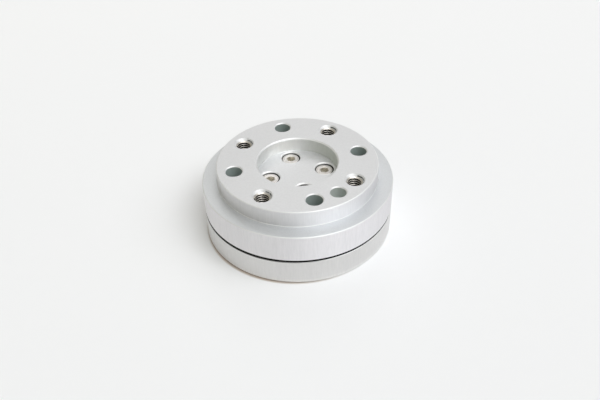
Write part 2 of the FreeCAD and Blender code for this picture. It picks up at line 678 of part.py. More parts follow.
def connector_shell():
    shell = turned([
        (INSULATOR_R, X_REAR), (PANEL_THREAD_R, X_REAR), (PANEL_THREAD_R, X_COLLAR),
        (COLLAR_R, X_COLLAR), (COLLAR_R, X_COUPLING), (COUPLING_R, X_COUPLING),
        (COUPLING_R, X_MOUTH), (SOCKET_R, X_MOUTH), (SOCKET_R, X_INSULATOR), (INSULATOR_R, X_INSULATOR)])
    shell = shell.makeChamfer(COUPLING_EDGE, round_edges(shell, (COUPLING_R, X_MOUTH)))
    width = 2 * COLLAR_R + OVERCUT
    across_flats = 2 * (COLLAR_R - COLLAR_FLAT_DEPTH)
    outside = block(width, width, X_COLLAR, X_COUPLING)
    between = block(width + OVERCUT, across_flats, X_COLLAR - OVERCUT, X_COUPLING + OVERCUT)
    return sideways(shell.cut(outside.cut(between)))


def connector_insulator():
    plug = disc(INSULATOR_R - FIT_CLEARANCE, X_REAR, X_INSULATOR)
    hole = disc(CONTACT_D / 2 + FIT_CLEARANCE, X_REAR - OVERCUT, X_INSULATOR + OVERCUT)
    return sideways(plug.cut(around(hole, CONTACT_PITCH_D / 2, DIAGONALS)))


def connector_contacts():
    radius = CONTACT_D / 2
    pin = disc(radius, X_TAIL, X_INSULATOR + CONTACT_REACH)
    pin = pin.makeFillet(radius / 2, round_edges(pin, (radius, X_INSULATOR + CONTACT_REACH)))
    return contacts(pin)


def connector_gasket():
    return sideways(tube(COLLAR_R - GASKET_INSET, PANEL_THREAD_R + SEAL_CLEARANCE, X_SPOT, X_COLLAR))


def wire_header():
    """Block on the board that takes the ends of the wires from the receptacle."""
    top = Z_CONNECTOR + CONTACT_PITCH_D / 2 + HEADER_MARGIN
    body = chip(HEADER_LENGTH, HEADER_WIDTH, top - Z_BOARD_TOP)
    return at(body, X_HEADER - HEADER_LENGTH / 2, CONNECTOR_ANGLE, Z_BOARD_TOP)


def signal_wires():
    return contacts(disc(WIRE_D / 2, X_HEADER, X_TAIL))


PIECES = (
    tool_flange, base_housing, elastic_element, hub_screws, ring_screws, hub_dowels, ring_dowels,
    tool_thread_inserts, base_thread_inserts, gap_seal, bending_gauges, side_gauges, solder_tabs,
    bottom_cover, cover_seal, cover_screws, circuit_board, board_screws, processor_chip,
    converter_chips, board_capacitors, connector_shell, connector_insulator, connector_contacts,
    connector_gasket, wire_header, signal_wires)

os.makedirs("parts", exist_ok=True)
for piece in PIECES:
    made = piece()
    shape = Part.makeCompound(made) if isinstance(made, list) else made
    shape.exportStep(f"parts/{piece.__name__}.step")
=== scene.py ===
import math

import bpy
from mathutils import Matrix, Vector


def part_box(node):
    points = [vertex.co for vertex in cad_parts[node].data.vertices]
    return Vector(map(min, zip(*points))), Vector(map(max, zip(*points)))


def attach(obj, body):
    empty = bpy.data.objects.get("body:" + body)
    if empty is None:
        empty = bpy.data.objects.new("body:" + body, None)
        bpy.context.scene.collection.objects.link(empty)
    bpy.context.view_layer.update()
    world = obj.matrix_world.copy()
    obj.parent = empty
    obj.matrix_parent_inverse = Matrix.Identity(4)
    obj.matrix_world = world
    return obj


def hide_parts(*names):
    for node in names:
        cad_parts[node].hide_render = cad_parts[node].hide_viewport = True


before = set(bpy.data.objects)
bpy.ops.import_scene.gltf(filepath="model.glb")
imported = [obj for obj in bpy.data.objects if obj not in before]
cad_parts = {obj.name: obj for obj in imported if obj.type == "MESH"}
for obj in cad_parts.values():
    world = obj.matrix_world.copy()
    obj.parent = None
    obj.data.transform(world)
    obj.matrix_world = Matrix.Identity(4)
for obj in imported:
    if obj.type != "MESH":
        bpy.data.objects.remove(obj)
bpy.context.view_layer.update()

# Looks of a round six-axis force sensor: finishes for the CAD nodes, real thread inserts, screws and
# a threaded receptacle, on a pale floor. Lengths are in metres, angles in degrees unless a name or
# comment says radians, and Z runs up the sensor's axis.

MM = 0.001
FULL_TURN = 2 * math.pi
AXES = (0, 90, 180, 270)
DIAGONALS = (45, 135, 225, 315)

# Places, from the CAD nodes' boxes
Z_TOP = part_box("tool_flange")[1].z
INSERT_LOW, INSERT_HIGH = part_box("tool_thread_inserts")
BASE_INSERT_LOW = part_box("base_thread_inserts")[0]
HUB_SCREW_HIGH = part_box("hub_screws")[1]
SHELL_LOW, SHELL_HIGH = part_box("connector_shell")

# Hole circle of the tool face, and the boss that raises it above the rim
PITCH_R = 25.0 * MM
BOSS_HEIGHT = 6.6 * MM
Z_RIM = Z_TOP - BOSS_HEIGHT
RIM_BAND = 0.05 * MM

# Directions about the sensor: its shaded and lit sides, and where the painted shade on the gap's edges is
# darkest
SHADED_AZIMUTH = 180
LIT_AZIMUTH = 0
GAP_AZIMUTH = -165

# Turned walls of the upper disc, the boss and the centring recess, as pairs of radii
SIDE_WALL = (37.3 * MM, 37.6 * MM)
BOSS_WALL = (31.4 * MM, 31.6 * MM)
RECESS_WALL = (15.65 * MM, 15.85 * MM)
TURNED_LOW = 11.3 * MM

# Gap between the discs with the width and reach of the painted shade on its edges, and the foot of the lower
# one, where its walls are painted lighter
GAP_LOW = 10.35 * MM
GAP_HIGH = 11.25 * MM
GAP_EDGE = 0.18 * MM
GAP_REACH = 33.0 * MM
FOOT_LOW = 0.5 * MM
FOOT_HIGH = 2.2 * MM

# Holes of the tool face, all between two radii of the boss, and the recess with its screw bores
BORED_INNER_R = 16.5 * MM
BORED_OUTER_R = 30.8 * MM
TAPPED_R = 3.1 * MM
TAPPED_MOUTH_R = 3.95 * MM
TAPPED_PLACE = Vector((1, 1, 0)).normalized() * PITCH_R
# Band of painted shade in the first cut of each tapped hole's thread
CUT_R = 3.75 * MM
CUT_UPPER = 0.43 * MM
CUT_LOWER = 0.80 * MM
MOUTH_BEVEL = 0.4 * MM
PIN_HOLE_R = 3.6 * MM
PIN_HOLE_ANGLE = -67.5
PILOT_DEPTH = 5.8 * MM
FILLET = 0.2 * MM
SCREW_BORE_R = 3.8 * MM
MASK_EDGE = 0.02 * MM

# Wire thread inserts, from the wall of the tapped hole to the crest of the thread
WIRE_WALL_R = 3.08 * MM
WIRE_CREST_R = 2.5 * MM
# Radii over which the painted shade in the wire's roots deepens towards the wall
WIRE_ROOT = (WIRE_CREST_R + 0.03 * MM, WIRE_CREST_R + 0.2 * MM)
WIRE_HALF = 0.45 * MM
WIRE_FLAT = 0.09 * MM
WIRE_PITCH = 1.0 * MM
WIRE_STEPS = 48
WIRE_START = 170

# Hub cap screws
SCREW_SIDES = 96
SCREW_SHANK_R = 2.0 * MM
SCREW_LENGTH = 8.0 * MM
SCREW_TIP = 0.4 * MM
SCREW_THREAD_DEPTH = 0.33 * MM
SCREW_THREAD_PITCH = 0.7 * MM
SCREW_THREAD_STEP = SCREW_THREAD_PITCH / 6
HEAD_R = 3.5 * MM
HUB_SCREW_R = HUB_SCREW_HIGH.x - HEAD_R
HEAD_HEIGHT = 4.0 * MM
HEAD_ROUND = 0.45 * MM
HEAD_FOOT = 0.15 * MM
# Ring of painted dark reflection on the head, inside its rounded edge
HEAD_LINE_INNER = 2.65 * MM
HEAD_LINE_OUTER = 2.9 * MM
KNURL_DEPTH = 0.04 * MM
KNURL_LOW = 0.5 * MM
KNURL_HIGH = 3.2 * MM
KEY = 3.0 * MM
KEY_DEPTH = 2.0 * MM
KEY_BEVEL = 0.12 * MM
KEY_POINT = 0.5 * MM
KEY_TURNS = (30, 0, 30, 0)
SOCKET_REACH = 0.6 * KEY
SOCKET_TOP = HEAD_HEIGHT - KEY_BEVEL / 2
ROUND_STEPS = 5

# Threads: how far the flanks fall over a pitch, in depths, and the part of it cut flat at the crest
THREAD_SLOPE = 2.6
THREAD_LAND = 0.15

# Receptacle at the back, along its own axis outwards
RECEPTACLE_ANGLE = 67.5
RECEPTACLE_Z = (SHELL_LOW.z + SHELL_HIGH.z) / 2
RECEPTACLE_SIDES = 72
PANEL_R = 3.3 * MM
COLLAR_R = 4.7 * MM
COLLAR_FLAT = 4.3 * MM
COLLAR_EDGE = 0.25 * MM
COUPLING_R = 4.0 * MM
COUPLING_EDGE = 0.4 * MM
SOCKET_R = 3.2 * MM
INSULATOR_R = 2.5 * MM
X_REAR = 30.4 * MM
X_COLLAR = 37.4 * MM
X_COUPLING = 39.4 * MM
X_MOUTH = 45.4 * MM
X_INSULATOR = 40.4 * MM
COUPLING_THREAD_DEPTH = 0.45 * MM
COUPLING_THREAD_PITCH = 1.0 * MM
COUPLING_THREAD_STEP = 0.1 * MM

# Edges between faces that meet at more than this angle stay sharp
SHARP_ANGLE = 35

# Floor: painted paler from near to far for the falloff of the lamps' light, and painted contact shadow in
# the narrow wedge under the sensor's edge
FLOOR_SIZE = 6.0
FLOOR_CORNERS = ((-1, -1), (1, -1), (1, 1), (-1, 1))
FLOOR_AZIMUTH = 110
FLOOR_REACH = (-150.0 * MM, 300.0 * MM)
# Wedge of painted contact shadow on the floor under the sensor's edge, strongest on its shaded side
WEDGE_AZIMUTH = -140
WEDGE_SHIFT = 1.4 * MM
WEDGE_EDGE = (37.25 * MM, 36.4 * MM)
WEDGE_REACH = (5.0 * MM, 36.0 * MM)

# Camera, as turns about the sensor, distance and the photograph's 600 pixel width
CAMERA_AZIMUTH = -103.562
CAMERA_ELEVATION = 38.766
CAMERA_ROLL = -1.441
CAMERA_DISTANCE = 255.363 * MM
CAMERA_TARGET = Vector((-1.547, -9.355, 17.0)) * MM
CAMERA_NEAR = 10.0 * MM
FOCAL_PIXELS = 656.885
IMAGE_WIDTH = 600
SENSOR_WIDTH = 36.0

# Lights: soft boxes at one distance, and a room that is warmer on one side than on the other
LAMP_DISTANCE = 3.0
ROOM_AZIMUTH = CAMERA_AZIMUTH + 90
ROOM_WARM = (1.02, 0.97, 0.82)
ROOM_COOL = (0.985, 0.98, 1.0)
ROOM_EDGE = 0.7
ROOM_STRENGTH = 0.325


# Directions and placings

def toward(azimuth, elevation=0):
    """Unit vector from the sensor towards a turn about it and a height angle."""
    a = math.radians(azimuth)
    e = math.radians(elevation)
    return Vector((math.cos(e) * math.cos(a), math.cos(e) * math.sin(a), math.sin(e)))


def turned(angle, axis="Z"):
    return Matrix.Rotation(math.radians(angle), 4, axis)


def around(radius, angles, height):
    """Placings on a circle about the sensor's axis."""
    return [turned(angle) @ Matrix.Translation((radius, 0, height)) for angle in angles]


def outward(angle, height):
    """Placing of a shape along Z on a radius of the sensor."""
    return Matrix.Translation((0, 0, height)) @ turned(angle) @ turned(90, "Y")


# Node trees

# Sockets of a colour mix node: its factor and two colours, and its result
MIX_INPUTS = (0, 6, 7)
MIX_RESULT = 2

# Range of a mask, the part of it that most noise keeps to, and the factors that flatten coordinates
WHOLE = (0.0, 1.0)
NOISE_SPAN = (0.3, 0.7)
FLAT = (1, 1, 0)


class Nodes:
    """Node tree of a material or the world, with short ways to add to it and to join its shader."""

    def __init__(self, owner, shader):
        owner.use_nodes = True
        self.tree = owner.node_tree
        self.shader = self.tree.nodes[shader]

    def add(self, kind, inputs=(), **settings):
        """New node with its settings, its inputs given by name or number as values or links."""
        node = self.tree.nodes.new("ShaderNode" + kind)
        for setting, value in settings.items():
            setattr(node, setting, value)
        for socket, value in dict(inputs).items():
            self.join(value, node.inputs[socket])
        return node

    def join(self, value, socket):
        """Sets a socket to a value, or links it to another socket."""
        if isinstance(value, bpy.types.NodeSocket):
            self.tree.links.new(value, socket)
        else:
            socket.default_value = value

    def link(self, socket, value):
        """Links a value to one of the shader's sockets."""
        self.tree.links.new(value, self.shader.inputs[socket])

    def calc(self, operation, first, second=0.0):
        """Number worked out from one or two numbers."""
        return self.add("Math", {0: first, 1: second}, operation=operation).outputs[0]

    def vector(self, operation, first, second=(0, 0, 0), result="Value"):
        """Number, or a vector if the result is so named, worked out from one or two vectors."""
        return self.add("VectorMath", {0: first, 1: second}, operation=operation).outputs[result]

    def parts(self, vector):
        return self.add("SeparateXYZ", {0: vector}).outputs

    def times(self, first, second):
        return self.calc("MULTIPLY", first, second)

    def above(self, value, bound):
        """One where a value is above a bound, else zero."""
        return self.calc("GREATER_THAN", value, bound)

    def below(self, value, bound):
        """One where a value is below a bound, else zero."""
        return self.calc("LESS_THAN", value, bound)

    def between(self, value, low, high):
        """One where a value lies between two bounds, else zero."""
        return self.times(self.above(value, low), self.below(value, high))

    def spread(self, value, span, to=WHOLE):
        """Value moved from one span to another, held at its ends."""
        return self.add("MapRange", {"Value": value, "From Min": span[0], "From Max": span[1],
                                     "To Min": to[0], "To Max": to[1]}).outputs["Result"]

    def mix(self, factor, first, second, blend="MIX"):
        """Colour between two others, each given as three numbers or a link."""
        node = self.add("Mix", data_type="RGBA", blend_type=blend)
        for socket, value in zip(MIX_INPUTS, (factor, first, second)):
            self.join((*value, 1.0) if isinstance(value, tuple) else value, node.inputs[socket])
        return node.outputs[MIX_RESULT]

    def tinted(self, mask, colour, tint):
        """Colour multiplied by a tint where a mask is set."""
        return self.mix(mask, colour, self.mix(1.0, colour, tint, "MULTIPLY"))


class Look(Nodes):
    """Material with one shader; constants sit on the shader, the rest is linked to it."""

    def __init__(self, name, **constants):
        self.material = bpy.data.materials.new(name)
        super().__init__(self.material, "Principled BSDF")
        for socket, value in constants.items():
            self.shader.inputs[socket.replace("_", " ")].default_value = value

    def place(self, stretch=(1, 1, 1)):
        """Coordinates of the sensor, shrunk along an axis to draw texture out along it."""
        return self.vector("MULTIPLY", self.add("TexCoord").outputs["Object"], stretch, "Vector")

    def local(self):
        """Coordinates of a made piece before its placing."""
        return self.add("Attribute", attribute_name="local").outputs["Vector"]

    def normal(self):
        return self.add("TexCoord").outputs["Normal"]

    def noise(self, where, scale, detail=3.0, coarse=0.6):
        return self.add("TexNoise", {"Vector": where, "Scale": scale, "Detail": detail,
                                     "Roughness": coarse}).outputs["Fac"]

    def rings(self, scale, detail=3.0):
        """Noise in rings about the sensor's axis, like the marks of a cutter."""
        return self.noise(self.add("CombineXYZ", {"X": self.radius()}).outputs[0], scale, detail)

    def bump(self, height, depth):
        node = self.add("Bump", {"Height": height, "Distance": depth})
        self.link("Normal", node.outputs["Normal"])

    def height(self):
        return self.parts(self.place())["Z"]

    def radius(self):
        """Distance from the sensor's axis."""
        return self.vector("LENGTH", self.place(FLAT))

    def from_place(self, place):
        """Distance from an upright axis through a place."""
        return self.vector("DISTANCE", self.place(FLAT), place)

    def folded(self):
        """Flat coordinates of the sensor, folded into one quarter of it."""
        return self.vector("ABSOLUTE", self.place(FLAT), result="Vector")

    def from_tapped(self):
        """Distance from the axis of the nearest tapped hole."""
        return self.vector("DISTANCE", self.folded(), TAPPED_PLACE)

    def from_screw(self):
        """Distance from the axis of the nearest hub screw."""
        parts = self.parts(self.folded())
        eighth = self.add("CombineXYZ", {"X": self.calc("MAXIMUM", parts["X"], parts["Y"]),
                                         "Y": self.calc("MINIMUM", parts["X"], parts["Y"])}).outputs[0]
        return self.vector("DISTANCE", eighth, (HUB_SCREW_R, 0, 0))

    def along(self, azimuth):
        """Distance from the sensor's axis along one direction."""
        return self.vector("DOT_PRODUCT", self.place(), toward(azimuth))

    def tilt(self):
        """How far a surface faces up or down: 0 upright, 1 level."""
        return self.calc("ABSOLUTE", self.parts(self.normal())["Z"])

    def facing(self, azimuth):
        """How far a surface faces one direction: 1 towards it, -1 away from it."""
        return self.vector("DOT_PRODUCT", self.normal(), toward(azimuth))


# Blasted and clear anodised aluminium of the two discs

GRAIN_STRETCH = (1, 1, 0.12)
GRAIN_SCALE = 1600
GRAIN_SPAN = (0.25, 0.75)
GRAIN_SHARE = 0.9
GRAIN_DEPTH = 0.003 * MM
CLOUD_STRETCH = (1, 1, 0.3)
CLOUD_SCALE = 50
CLOUD_SHARE = 0.2
RINGS_SCALE = 5200
STREAK_STRETCH = (1, 1, 0.02)
STREAK_SCALE = 700
STREAK_SPAN = (0.35, 0.65)
STREAK_DARK = (1.107, 1.082, 1.087)
STREAK_LIGHT = (1.128, 1.103, 1.108)
ANODISED_METAL = 0.9
ANODISED_ROUGH = (0.46, 0.60)
TURNED_DRAW = 0.7

# Tints of its walls and edges, some of them painted light and shade; turns are spans of how far a wall faces
# the shaded side
BOSS_TINT = (1.075, 1.065, 1.065)
# Painted shade darkening the rim's top face
RIM_SHADE = (0.935, 0.95, 0.955)
# Painted light lifting the lowest part of the walls, against the contact shade they reflect
FOOT_PAINTED_LIGHT = (1.15, 1.15, 1.14)
# Painted shade that dims the highlight on the recess's fillet
FILLET_SHADE = (0.9, 0.9, 0.9)
# Recess wall: painted light on its lit side, painted shade on its shaded side, more painted light near its
# floor on the lit side
RECESS_LIT_TINT = (1.095, 1.095, 1.06)
RECESS_SHADE = (0.93, 0.955, 0.89)
RECESS_TURN = (0.3, 0.9)
RECESS_PAINTED_GLOW = (1.08, 1.08, 1.08)
GLOW_TURN = (-0.6, -0.9)
# Painted shade on the edges of the gap, on the sensor's shaded side
GAP_SHADE = (0.06, 0.06, 0.055)
BEVEL_COLOUR = (0.84, 0.85, 0.85)
MOUTH_COLOUR = (0.75, 0.765, 0.765)
BEVEL_DULL = 0.5
BEVEL_STEEP = 0.3
BEVEL_FLAT = 0.95

# Its holes: plain ones and the pin hole, partly drilled finish and partly painted shade, screw bores, and
# painted shade in the first cuts of the threads and in their roots
# Plain and pin hole walls: partly their drilled finish, partly painted shade; the shallow blind pin hole is
# painted paler
PLAIN_COLOUR = (0.35, 0.412, 0.392)
PIN_COLOUR = (0.515, 0.555, 0.53)
# Screw bores: painted light on the side facing the lamps, painted shade on the side turned away
BORE_LIT = (0.26, 0.265, 0.25)
BORE_SHADE = (0.03, 0.032, 0.028)
BORE_TURN = (-0.4, 0.5)
HOLE_DULL = 0.85
# Painted shade in the first cuts of the threads, broken up by noise
CUT_SHADE = (0.07, 0.08, 0.065)
BREAKUP_SCALE = 1100
BREAKUP_SPAN = (0.42, 0.58)
BREAKUP_SHARE = (0.3, 1.0)
# Painted shade on the tapped holes' walls below the inserts' first turn
ROOT_SHADE = (0.02, 0.022, 0.018)


def turned_walls(look):
    """Masks of the flange's turned upright walls: its side, the boss and the recess."""
    radius = look.radius()
    above = look.above(look.height(), TURNED_LOW)
    return [look.times(above, look.between(radius, *wall)) for wall in (SIDE_WALL, BOSS_WALL, RECESS_WALL)]


def recess_fillet(look):
    """Mask of the round between the recess's wall and floor."""
    above_floor = look.calc("SUBTRACT", look.height(), Z_TOP - PILOT_DEPTH)
    return look.times(look.between(above_floor, MASK_EDGE, FILLET), look.below(look.radius(), BORED_INNER_R))


def gap_edge_shade(look):
    """Mask of painted shade on the two edges of the gap between the discs, on the sensor's shaded side."""
    edges = look.times(look.between(look.height(), GAP_LOW - GAP_EDGE, GAP_HIGH + GAP_EDGE),
                       look.above(look.radius(), SIDE_WALL[0]))
    return look.times(edges, look.spread(look.along(GAP_AZIMUTH), (0.0, GAP_REACH)))


def plain_holes(look):
    """Mask of the walls of the tool face's plain holes."""
    depth = look.calc("SUBTRACT", Z_TOP, look.height())
    walls = look.times(look.between(look.radius(), BORED_INNER_R, BORED_OUTER_R),
                       look.between(depth, MOUTH_BEVEL + MASK_EDGE, BOSS_HEIGHT))
    return look.times(walls, look.above(look.from_tapped(), TAPPED_MOUTH_R))


def screw_bores(look):
    """Mask of the bores around the hub screws."""
    return look.times(look.below(look.from_screw(), SCREW_BORE_R + MASK_EDGE),
                      look.below(look.height(), HUB_SCREW_HIGH.z))


def thread_cuts(look):
    """Mask of painted shade in the first cuts of the threads, in the mouths of the tapped holes."""
    depth = look.calc("SUBTRACT", Z_TOP, look.height())
    from_tapped = look.from_tapped()
    past_cone = look.above(look.calc("ADD", from_tapped, depth), TAPPED_MOUTH_R + MASK_EDGE)
    in_cut = look.times(look.below(from_tapped, CUT_R), look.between(depth, CUT_UPPER, CUT_LOWER))
    return look.times(past_cone, in_cut)


def thread_roots(look):
    """Mask of painted shade on the walls of the tapped holes below the first turn of the inserts."""
    return look.times(look.below(look.height(), INSERT_HIGH.z - WIRE_PITCH),
                      look.below(look.from_tapped(), TAPPED_R + MASK_EDGE))


def wall_tints(look, colour, walls, away):
    """Colour with the tints of the turned walls: streaks, and painted light and shade on the recess, lighter
    on its lit side and towards its floor there.
    """
    streaks = look.noise(look.place(STREAK_STRETCH), STREAK_SCALE, detail=2.0)
    drawn = look.mix(look.spread(streaks, STREAK_SPAN), STREAK_DARK, STREAK_LIGHT)
    # Painted light and shade on the recess's wall, by the way it faces
    hollow = look.mix(look.spread(away, RECESS_TURN), RECESS_LIT_TINT, RECESS_SHADE)
    near_floor = look.spread(look.height(), (Z_TOP, Z_TOP - PILOT_DEPTH))
    hollow = look.tinted(look.times(near_floor, look.spread(away, GLOW_TURN)), hollow, RECESS_PAINTED_GLOW)
    for wall, tint in zip(walls, (drawn, BOSS_TINT, hollow)):
        colour = look.tinted(wall, colour, tint)
    return colour


def edge_colours(look, colour, bevel):
    """Colour with pale bevels and painted shade on the gap's edges."""
    in_mouth = look.below(look.from_tapped(), TAPPED_MOUTH_R)
    colour = look.mix(bevel, colour, look.mix(in_mouth, BEVEL_COLOUR, MOUTH_COLOUR))
    return look.mix(gap_edge_shade(look), colour, GAP_SHADE)


def hole_colours(look, colour, plain, bore, away):
    """Colour with darker hole walls, partly drilled finish and partly painted shade, and painted light and
    shade in bores, cuts and roots.
    """
    by_pin = look.below(look.from_place(toward(PIN_HOLE_ANGLE) * PITCH_R), PIN_HOLE_R)
    colour = look.mix(plain, colour, look.mix(by_pin, PLAIN_COLOUR, PIN_COLOUR))
    # Painted light and shade on the screw bores, by the way they face
    colour = look.mix(bore, colour, look.mix(look.spread(away, BORE_TURN), BORE_LIT, BORE_SHADE))
    # Painted shade in the first cuts of the threads
    shade_breakup = look.spread(look.noise(look.place(), BREAKUP_SCALE, detail=1.0), BREAKUP_SPAN, BREAKUP_SHARE)
    colour = look.mix(look.times(thread_cuts(look), shade_breakup), colour, CUT_SHADE)
    # Painted shade in the roots of the threads
    return look.mix(thread_roots(look), colour, ROOT_SHADE)


def anodised_aluminium(name, dark, light):
    """Blasted and anodised metal: fine grain, drawn out down the sides, and a turned rim."""
    look = Look(name, IOR=1.5, Anisotropic_Rotation=0.25)
    grain = look.noise(look.place(GRAIN_STRETCH), GRAIN_SCALE, detail=5.0, coarse=0.7)
    cloud = look.noise(look.place(CLOUD_STRETCH), CLOUD_SCALE, detail=2.0)
    shade = look.calc("ADD", look.spread(grain, NOISE_SPAN, (0.0, GRAIN_SHARE)),
                      look.spread(cloud, NOISE_SPAN, (0.0, CLOUD_SHARE)))
    walls = turned_walls(look)
    on_rim = look.between(look.height(), Z_RIM - RIM_BAND, Z_RIM + RIM_BAND)
    on_foot = look.times(look.spread(look.height(), (FOOT_HIGH, FOOT_LOW)),
                         look.below(look.tilt(), BEVEL_STEEP))
    fillet = recess_fillet(look)
    bevel = look.times(look.between(look.tilt(), BEVEL_STEEP, BEVEL_FLAT),
                       look.calc("SUBTRACT", 1.0, fillet))
    plain = plain_holes(look)
    bore = screw_bores(look)
    away = look.facing(SHADED_AZIMUTH)
    colour = wall_tints(look, look.mix(shade, dark, light), walls, away)
    # Painted shade on the recess's fillet and on the rim, painted light on the foot of the walls
    for mask, tint in ((fillet, FILLET_SHADE), (on_foot, FOOT_PAINTED_LIGHT), (on_rim, RIM_SHADE)):
        colour = look.tinted(mask, colour, tint)
    colour = edge_colours(look, colour, bevel)
    look.link("Base Color", hole_colours(look, colour, plain, bore, away))
    dull = look.calc("MAXIMUM", look.times(look.calc("MAXIMUM", plain, bore), HOLE_DULL),
                     look.times(bevel, BEVEL_DULL))
    look.link("Metallic", look.calc("SUBTRACT", ANODISED_METAL, dull))
    look.link("Roughness", look.spread(grain, GRAIN_SPAN, ANODISED_ROUGH))
    side, boss, recess = walls
    on_wall = look.calc("ADD", look.calc("ADD", side, boss), recess)
    look.link("Anisotropic", look.times(on_wall, TURNED_DRAW))
    look.link("Tangent", look.add("Tangent", direction_type="RADIAL", axis="Z").outputs["Tangent"])
    look.bump(look.mix(on_rim, grain, look.rings(RINGS_SCALE, detail=2.0)), GRAIN_DEPTH)
    return look.material


# Milled aluminium inside and on the cover

MILLED_DARK = (0.60, 0.605, 0.61)
MILLED_LIGHT = (0.74, 0.745, 0.75)
MILLED_ROUGH = (0.24, 0.40)
MILLED_RINGS = 3000
MILLED_CLOUD = 90
MILLED_DEPTH = 0.006 * MM


def machined_aluminium():
    """Milled metal with fine cutter marks."""
    look = Look("machined_aluminium", Metallic=1.0)
    rings = look.rings(MILLED_RINGS)
    look.link("Base Color", look.mix(look.noise(look.place(), MILLED_CLOUD), MILLED_DARK, MILLED_LIGHT))
    look.link("Roughness", look.spread(rings, NOISE_SPAN, MILLED_ROUGH))
    look.bump(rings, MILLED_DEPTH)
    return look.material


# Stainless steel of the screws and pins inside

STEEL_DARK = (0.60, 0.585, 0.55)
STEEL_LIGHT = (0.74, 0.72, 0.69)
STEEL_ROUGH = (0.20, 0.36)
STEEL_STRETCH = (1, 0.15, 1)
STEEL_SCRATCH = 2600
STEEL_CLOUD = 400
STEEL_DEPTH = 0.002 * MM


def stainless_steel():
    """Satin steel, scratched along one way."""
    look = Look("stainless_steel", Metallic=1.0)
    scratch = look.noise(look.place(STEEL_STRETCH), STEEL_SCRATCH)
    look.link("Base Color", look.mix(look.noise(look.place(), STEEL_CLOUD), STEEL_DARK, STEEL_LIGHT))
    look.link("Roughness", look.spread(scratch, NOISE_SPAN, STEEL_ROUGH))
    look.bump(scratch, STEEL_DEPTH)
    return look.material


# Steel of the hub cap screws: head, painted dark ring, painted side shade, socket, painted edge shadow
# towards the lit side

HEAD_DARK = (0.73, 0.705, 0.68)
HEAD_LIGHT = (0.85, 0.825, 0.80)
HEAD_ROUGH = (0.36, 0.50)
HEAD_SCRATCH = 2200
HEAD_DEPTH = 0.001 * MM
# Painted reflection: dark ring inside the head's rounded edge
HEAD_RING_REFLECTION = (0.40, 0.385, 0.37)
HEAD_LINE_SHARE = 0.6
# Painted shade on the head's side, sunk in its bore
HEAD_SIDE_SHADE = (0.22, 0.21, 0.20)
# Painted shadow of the bore's edge on the head's rim, on the side towards the lamps
HEAD_EDGE_SHADOW = (0.05, 0.05, 0.047)
HEAD_EDGE_TURN = (0.2, 0.5)
SOCKET_COLOUR = (0.67, 0.64, 0.57)
SOCKET_POLISH = 0.13


def screw_steel():
    """Cap screws with a satin head and a smoother, slightly brown socket."""
    look = Look("screw_steel", Metallic=0.75)
    local = look.local()
    height = look.parts(local)["Z"]
    from_axis = look.vector("LENGTH", look.vector("MULTIPLY", local, FLAT, "Vector"))
    scratch = look.noise(local, HEAD_SCRATCH, detail=4.0)
    ring_reflection = look.times(look.between(from_axis, HEAD_LINE_INNER, HEAD_LINE_OUTER), HEAD_LINE_SHARE)
    side_shade = look.times(look.above(from_axis, HEAD_R - HEAD_FOOT),
                         look.below(height, HEAD_HEIGHT - HEAD_ROUND))
    edge_shadow = look.times(look.above(from_axis, HEAD_R - HEAD_ROUND),
                         look.spread(look.facing(LIT_AZIMUTH), HEAD_EDGE_TURN))
    in_socket = look.times(look.below(from_axis, SOCKET_REACH), look.below(height, SOCKET_TOP))
    colour = look.mix(scratch, HEAD_DARK, HEAD_LIGHT)
    # Painted reflection ring, painted shade on the side, painted shadow on the edge, and the socket's own
    # colour
    for mask, paint in ((ring_reflection, HEAD_RING_REFLECTION), (side_shade, HEAD_SIDE_SHADE), (edge_shadow, HEAD_EDGE_SHADOW),
                        (in_socket, SOCKET_COLOUR)):
        colour = look.mix(mask, colour, paint)
    look.link("Base Color", colour)
    satin = look.spread(scratch, NOISE_SPAN, HEAD_ROUGH)
    look.link("Roughness", look.calc("SUBTRACT", satin, look.times(in_socket, SOCKET_POLISH)))
    look.bump(scratch, HEAD_DEPTH)
    return look.material


# Wire of the thread inserts

WIRE_DARK = (0.67, 0.64, 0.58)
WIRE_LIGHT = (0.79, 0.76, 0.70)
# Painted shade in the wire's roots
WIRE_ROOT_SHADE = (0.012, 0.012, 0.009)
WIRE_ROUGH = (0.30, 0.44)
WIRE_GRAIN = 1800
WIRE_DEPTH = 0.002 * MM


def insert_steel():
    """Bright drawn wire with painted shade in its roots below its first turn."""
    look = Look("insert_steel", Metallic=0.9)
    local = look.local()
    x, y, z = look.parts(local)
    from_axis = look.vector("LENGTH", look.vector("MULTIPLY", local, FLAT, "Vector"))
    turn = look.calc("FLOORED_MODULO", look.calc("ARCTAN2", look.times(y, -1.0), x), FULL_TURN)
    drop = look.times(turn, WIRE_PITCH / FULL_TURN)
    above_start = look.calc("ADD", look.calc("ADD", z, drop), WIRE_HALF)
    root = look.times(look.spread(from_axis, WIRE_ROOT), look.below(above_start, 0.0))
    drawn = look.noise(local, WIRE_GRAIN, detail=4.0)
    look.link("Base Color", look.mix(root, look.mix(drawn, WIRE_DARK, WIRE_LIGHT), WIRE_ROOT_SHADE))
    look.link("Roughness", look.spread(drawn, NOISE_SPAN, WIRE_ROUGH))
    look.bump(drawn, WIRE_DEPTH)
    return look.material


# Circuit board and solder tabs

WEAVE_SCALE = 900.0
WEAVE_MORTAR = 0.05
TRACK_SCALE = 420.0
TRACK_MIDDLE = 0.45
TRACK_HALF = 0.06
TRACK_COLOUR = (0.04, 0.19, 0.08)
TRACK_DEPTH = 0.03 * MM
SOLDER_MASK_DARK = (0.012, 0.075, 0.03)
SOLDER_MASK_LIGHT = (0.018, 0.10, 0.045)
BOARD_ROUGH = (0.32, 0.45)


